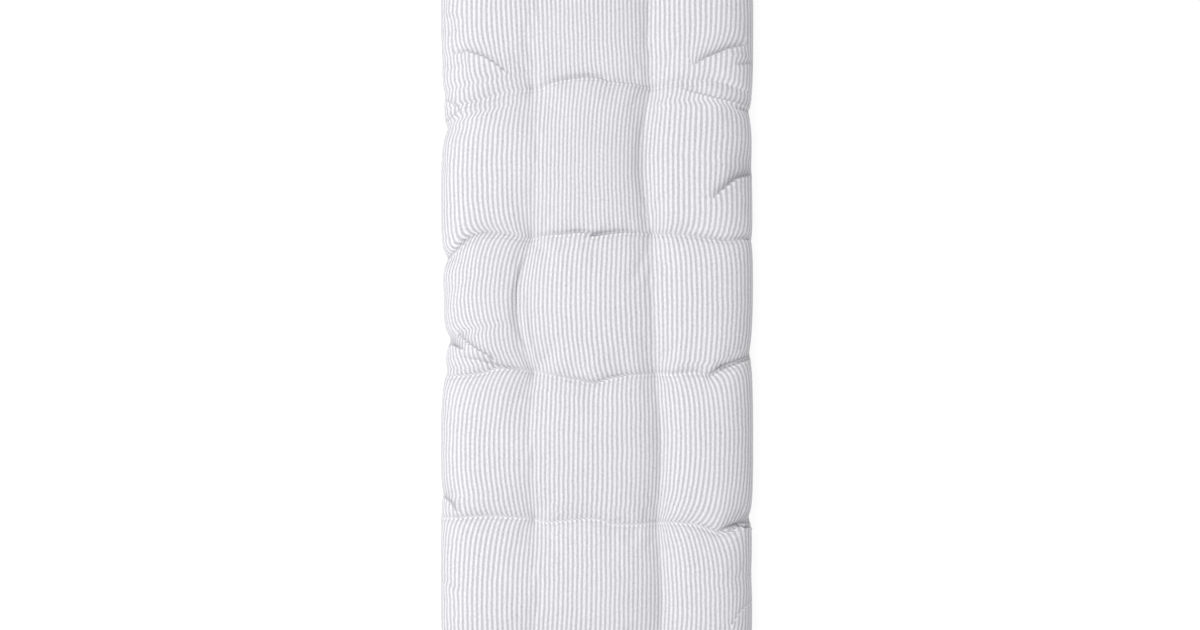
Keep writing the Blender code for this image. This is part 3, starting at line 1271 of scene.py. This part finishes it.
            # Painted highlight on the crease's lower lip, stronger where the crease is crisp
            share = np.minimum(1, self.bead_share + self.bead_rise * crisp)
            lip = np.maximum(lip, share * self.bump(away, self.bead_place, self.bead_width))
            # Painted shade in the crease, and in a thin line below the painted highlight
            shade = np.maximum(shade, crisp * self.pressed(away, self.shade_reach)[0])
            below_beads = self.bump(away, self.below_beads_place, self.below_beads_width)
            shade = np.maximum(shade, self.below_beads_shade * share * below_beads)
            slide += row.slide(x, away)
        for fold in HAND_CREASES:
            away, strength = fold.measure(x, y)
            dive, rolled = self.pressed(away, fold.spread * MM)
            depth = fold.depth * strength
            shift += depth * (self.fold_lip * rolled - self.fold_dive * dive)
            # Painted highlight on the fold's lower lip, and painted shade in the fold
            beads = self.bump(away, self.bead_place, self.bead_width)
            lip = np.maximum(lip, fold.bead * strength * beads)
            shade = np.maximum(shade, self.fold_shade * depth * dive)
            turn = self.slide_turn if fold.depth >= self.fine_depth else self.soft_turn
            slide += fold.slide(away, turn) * strength
        raised, pulled = self.ripples(x, y)
        shift += self.ripple_height * raised
        slide += self.ripple_slide * pulled + self.form.crossed(x, y)
        points += normals * (shift * facing)[:, None].astype(np.float32)
        points[:, 2] = np.maximum(points[:, 2], 0)
        mesh.vertices.foreach_set("co", points.ravel())
        mesh.update()
        mesh.shade_smooth()
        shade = np.minimum(self.darkest_shade, shade)
        # Keeps the painted highlight and the painted shade for the material
        for name, values in ((self.atlas.lip, lip), (self.atlas.shade, shade)):
            attribute = mesh.attributes.new(name, "FLOAT", "POINT")
            attribute.data.foreach_set("value", (values * (facing > 0)).astype(np.float32))
        self.slide_cloth(mesh, slide * facing)

    def slide_cloth(self, mesh: Mesh, slide: Array) -> None:
        """Slides the cloth sideways over the surface, by shifting what the UV map shows at each point."""
        layer = mesh.uv_layers[self.atlas.name]
        places = np.empty(len(mesh.loops) * 2, np.float32)
        layer.data.foreach_get("uv", places)
        places = places.reshape(-1, 2)
        places[:, 0] -= (slide[face_corners(mesh)] / self.atlas.span).astype(np.float32)
        layer.data.foreach_set("uv", places.ravel())

    def build(self, cotton: StripedCotton) -> tuple[Object, Array]:
        """Makes the whole cover, from the cut cloth to the finished piece.

        Args:
            cotton: the cloth's finish.

        Returns:
            The finished piece, and the places of its edge seam, once round the cushion.
        """
        sheets = self.cut()
        sheets = self.fill(sheets)
        sheets = sheets.finer(self.loose, self.fine)
        sheets.pinch_seam(self.seam_pinch, self.pinch_inside)
        mesh, cloth, upper_corners = sheets.sew("cushion_cover", self.lower_skip)
        self.map_cloth(mesh, cloth, upper_corners)
        self.cut_finer(mesh)
        self.crease(mesh)
        mesh.materials.append(cotton.material(self.form, self.atlas))
        piece = add_object("cushion_cover", mesh)
        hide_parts("cushion")
        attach(piece, "root")
        report_piece(piece)
        return piece, sheets.seam_loop()


def report_piece(piece: Object) -> None:
    """Logs a finished piece and how many triangles it has."""
    piece.data.calc_loop_triangles()
    LOG.info("%s: %d triangles", piece.name, len(piece.data.loop_triangles))


@dataclass(frozen=True)
class Stitching:
    """One kind of stitch, in metres: an arch of thread whose two ends sink into the cloth.

    Stitches with a gap between them follow a closed line of places; without one there is a stitch at each
    place. The places keep which way a stitch lies there, and which way is out of the cloth.
    """

    name: str
    length: float
    thickness: float
    arch: float
    gap: float = 0.0
    arch_steps: int = 4
    thread_sides: int = 6
    end_height: float = -1.0
    pull_height: float = 3.0
    shortest: float = 0.85
    longest: float = 1.12
    seed: int = 7

    def tree(self) -> NodeTree:
        """The node tree that sews the stitches, with its sizes as named inputs."""
        tree = bpy.data.node_groups.new(self.name, "GeometryNodeTree")
        sizes = [(name, "INPUT", "Float") for name in ("Length", "Thickness", "Arch", "Gap")]
        ends = (("Thread", "INPUT", "Material"), ("Stitches", "OUTPUT", "Geometry"))
        for name, way, kind in (("Places", "INPUT", "Geometry"), *sizes, *ends):
            tree.interface.new_socket(name, in_out=way, socket_type="NodeSocket" + kind)
        board = NodeBoard(tree)
        given = board.add("NodeGroupInput").outputs
        places = given["Places"]
        if self.gap > 0:
            line = board.add("GeometryNodeMeshToCurve", {"Mesh": places}).outputs["Curve"]
            sockets = {"Curve": line, "Length": given["Gap"]}
            places = board.add("GeometryNodeResampleCurve", sockets, mode="LENGTH").outputs["Curve"]
        sockets = {
            "Points": places,
            "Instance": self.arch_of_thread(board, given),
            "Rotation": self.lying(board),
            "Scale": self.uneven(board),
        }
        sewn = board.add("GeometryNodeInstanceOnPoints", sockets).outputs["Instances"]
        real = board.add("GeometryNodeRealizeInstances", {"Geometry": sewn}).outputs["Geometry"]
        sockets = {"Geometry": real, "Material": given["Thread"]}
        dressed = board.add("GeometryNodeSetMaterial", sockets).outputs["Geometry"]
        board.add("NodeGroupOutput", {"Stitches": dressed})
        return tree

    def arch_of_thread(self, board: NodeBoard, given: object) -> NodeSocket:
        """One stitch along X, arching up Z, as a tube of thread closed at both ends.

        Args:
            board: adds the nodes.
            given: the tree's named inputs.

        Returns:
            The stitch's mesh.
        """
        sunk = board.math("MULTIPLY", given["Arch"], self.end_height)
        top = board.math("MULTIPLY", given["Arch"], self.pull_height)
        bend = {"Resolution": self.arch_steps}
        for name, share, height in (("Start", -0.5, sunk), ("Middle", 0.0, top), ("End", 0.5, sunk)):
            sockets = {"X": board.math("MULTIPLY", given["Length"], share), "Z": height}
            bend[name] = board.add("ShaderNodeCombineXYZ", sockets).outputs["Vector"]
        radius = board.math("DIVIDE", given["Thickness"], 2.0)
        sockets = {"Resolution": self.thread_sides, "Radius": radius}
        sockets = {
            "Curve": board.add("GeometryNodeCurveQuadraticBezier", bend).outputs["Curve"],
            "Profile Curve": board.add("GeometryNodeCurvePrimitiveCircle", sockets).outputs["Curve"],
            "Fill Caps": True,
        }
        tube = board.add("GeometryNodeCurveToMesh", sockets).outputs["Mesh"]
        return board.add("GeometryNodeSetShadeSmooth", {"Geometry": tube}).outputs["Geometry"]

    def lying(self, board: NodeBoard) -> NodeSocket:
        """Each stitch's turn: its length along the kept way that it lies, and its arch out of the cloth."""
        turn = {}
        for axis, pivot, kept in (("X", "AUTO", "lay"), ("Z", "X", "out")):
            way = board.add("GeometryNodeInputNamedAttribute", {"Name": kept}, data_type="FLOAT_VECTOR")
            sockets = {"Vector": way.outputs["Attribute"], **turn}
            align = board.add("FunctionNodeAlignRotationToVector", sockets, axis=axis, pivot_axis=pivot)
            turn = {"Rotation": align.outputs["Rotation"]}
        return turn["Rotation"]

    def uneven(self, board: NodeBoard) -> NodeSocket:
        """Each stitch's size: a little uneven, as sewn by hand."""
        chance = board.add("FunctionNodeRandomValue", {"Seed": self.seed})
        for name, value in (("Min", self.shortest), ("Max", self.longest)):
            socket = next(each for each in chance.inputs if each.name == name and each.type == "VALUE")
            socket.default_value = value
        return next(socket for socket in chance.outputs if socket.type == "VALUE")

    def sew(self, places: Array, lay: Array, out: Array, thread: Material) -> None:
        """Sews the stitches as one piece.

        Args:
            places: where the stitches lie, one row each.
            lay: which way a stitch lies at each place.
            out: which way is out of the cloth there.
            thread: the thread's material.
        """
        count = len(places)
        line = [(index, (index + 1) % count) for index in range(count)] if self.gap > 0 else []
        guide = bpy.data.meshes.new(self.name)
        guide.from_pydata(places.tolist(), line, [])
        for name, ways in (("lay", lay), ("out", out)):
            kept = guide.attributes.new(name, "FLOAT_VECTOR", "POINT")
            kept.data.foreach_set("vector", np.asarray(ways, np.float32).ravel())
        holder = add_object("guide", guide)
        tree = self.tree()
        modifier = holder.modifiers.new("stitches", "NODES")
        modifier.node_group = tree
        sizes = {"Length": self.length, "Thickness": self.thickness, "Arch": self.arch, "Gap": self.gap}
        given = {"Thread": thread, **sizes}
        for item in tree.interface.items_tree:
            if item.name in given:
                modifier[item.identifier] = given[item.name]
        mesh = bpy.data.meshes.new_from_object(holder.evaluated_get(bpy.context.evaluated_depsgraph_get()))
        bpy.data.objects.remove(holder)
        bpy.data.meshes.remove(guide)
        mesh.name = self.name
        piece = add_object(self.name, mesh)
        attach(piece, "root")
        report_piece(piece)


@dataclass
class Sewing:
    """The cover's sewing: stitches across its edge seam, and one above and one below each tuft."""

    cover: Cover
    edge: Stitching = Stitching(
        "edge_stitches", length=3.2 * MM, thickness=0.5 * MM, arch=0.4 * MM, gap=6 * MM
    )
    tufts: Stitching = Stitching("tufting_stitches", length=4 * MM, thickness=0.9 * MM, arch=0.5 * MM)
    edge_out: float = 1.2 * MM
    edge_slant: float = 0.3
    above_line: float = 1 * MM

    def sew_edge(self, seam: Array, thread: Material) -> None:
        """Sews round the edge seam, across the groove between the two sheets.

        Args:
            seam: places of the edge seam, once round the cushion, anticlockwise from above.
            thread: the thread's material.
        """
        ahead = np.roll(seam, -1, axis=0) - np.roll(seam, 1, axis=0)
        ahead /= np.linalg.norm(ahead, axis=1)[:, None]
        out = np.column_stack((ahead[:, 1], -ahead[:, 0], np.zeros(len(seam))))
        lay = ahead * self.edge_slant + UP
        self.edge.sew(seam + out * self.edge_out, lay, out, thread)

    def sew_tufts(self, mesh: Mesh, thread: Material) -> None:
        """Sews the stitch that holds each tuft down, on the upper sheet and on the lower one.

        Args:
            mesh: the cover.
            thread: the thread's material.
        """
        points, normals = read_points(mesh)
        x, y = self.cover.seen(points.astype(float))
        places, out = [], []
        for tuft_x, tuft_y, _, _ in TUFTS:
            to_upper = np.hypot(x - tuft_x, y - tuft_y - self.above_line)
            to_lower = np.hypot(points[:, 0] - tuft_x, points[:, 1] - tuft_y)
            for away, upward in ((to_upper, 1.0), (to_lower, -1.0)):
                away = np.where(normals[:, 2] * upward > 0, away, np.inf)
                places.append(points[int(np.argmin(away))])
                out.append((0.0, 0.0, upward))
        lay = [ACROSS] * len(places)
        self.tufts.sew(np.array(places), np.array(lay), np.array(out), thread)

    def build(self, mesh: Mesh, seam: Array, thread: CottonThread) -> None:
        """Makes both kinds of stitches.

        Args:
            mesh: the cover.
            seam: places of its edge seam.
            thread: the thread's finish.
        """
        material = thread.material()
        self.sew_edge(seam, material)
        self.sew_tufts(mesh, material)


@dataclass
class Studio:
    """A plain pale floor, soft light from the left, and the camera straight above the cushion."""

    metres_per_pixel: float = 1.29 * MM
    image_width: int = 1200
    image_height: int = 630
    pixel_over_origin_x: float = 597.0
    pixel_over_origin_y: float = 306.0
    lens: float = 85.0
    sensor: float = 36.0
    floor_size: float = 24.0
    floor_grey: float = 0.30
    floor_glow: float = 0.80
    floor_roughness: float = 0.9
    sky: float = 0.51
    key_power: float = 73.0
    key_size: float = 1.6
    key_place: tuple[float, float, float] = (-1.2, 0.1, 2.8)

    def add_camera(self) -> None:
        """The camera looks straight down, with the head end up, from where the photograph was taken.

        A pixel spans the given length at the measured height, between the edge seam and the crown.
        """
        camera = bpy.data.cameras.new("camera")
        camera.lens = self.lens
        camera.sensor_width = self.sensor
        holder = add_object("camera", camera)
        distance = self.image_width * self.metres_per_pixel * self.lens / self.sensor
        holder.location = (
            (self.image_width / 2 - self.pixel_over_origin_x) * self.metres_per_pixel,
            (self.pixel_over_origin_y - self.image_height / 2) * self.metres_per_pixel,
            distance + MEASURED_HEIGHT,
        )
        bpy.context.scene.camera = holder

    def add_light(self) -> None:
        """A broad key light from the left and an even sky."""
        lamp = bpy.data.lights.new("key", "AREA")
        lamp.energy = self.key_power
        lamp.size = self.key_size
        holder = add_object("key", lamp)
        holder.location = self.key_place
        holder.rotation_euler = (-Vector(self.key_place)).to_track_quat("-Z", "Y").to_euler()
        world = bpy.data.worlds.new("sky")
        world.use_nodes = True
        board = NodeBoard(world.node_tree)
        board.fill_in(world.node_tree.nodes["Background"], {"Strength": self.sky, "Color": WHITE})
        bpy.context.scene.world = world

    def add_floor(self) -> None:
        """A pale floor just under the cushion."""
        half = self.floor_size / 2
        corners = [(-half, -half, 0.0), (half, -half, 0.0), (half, half, 0.0), (-half, half, 0.0)]
        mesh = bpy.data.meshes.new("floor")
        mesh.from_pydata(corners, [], [(0, 1, 2, 3)])
        material, board, shader = new_material("pale_floor")
        finish = {
            "Base Color": (self.floor_grey, self.floor_grey, self.floor_grey, 1.0),
            "Roughness": self.floor_roughness,
            "Emission Color": WHITE,
            "Emission Strength": self.floor_glow,
        }
        board.fill_in(shader, finish)
        mesh.materials.append(material)
        add_object("floor", mesh)

    def build(self) -> None:
        """Makes the camera, the lights and the floor."""
        self.add_camera()
        self.add_light()
        self.add_floor()
        bpy.context.scene.view_settings.view_transform = "Standard"


def main() -> None:
    """Loads the frame, then builds the studio and the cushion in order."""
    logging.basicConfig(level=logging.INFO, format="%(name)s: %(message)s")
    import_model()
    Studio().build()
    form = CushionForm()
    loose = Weave(
        across=(16, 20, 17), along=(27,) * len(PANELS), crowding_across=0.4, crowding_along=0.6
    )
    fine = Weave(
        across=(60, 56, 64), along=(32, 60, 64, 64, 64, 60, 32), crowding_across=0.3, crowding_along=0.7
    )
    cover = Cover(form, ClothMap(), loose, fine)
    piece, seam = cover.build(StripedCotton())
    Sewing(cover).build(piece.data, seam, CottonThread())


if __name__ == "__main__":
    main()
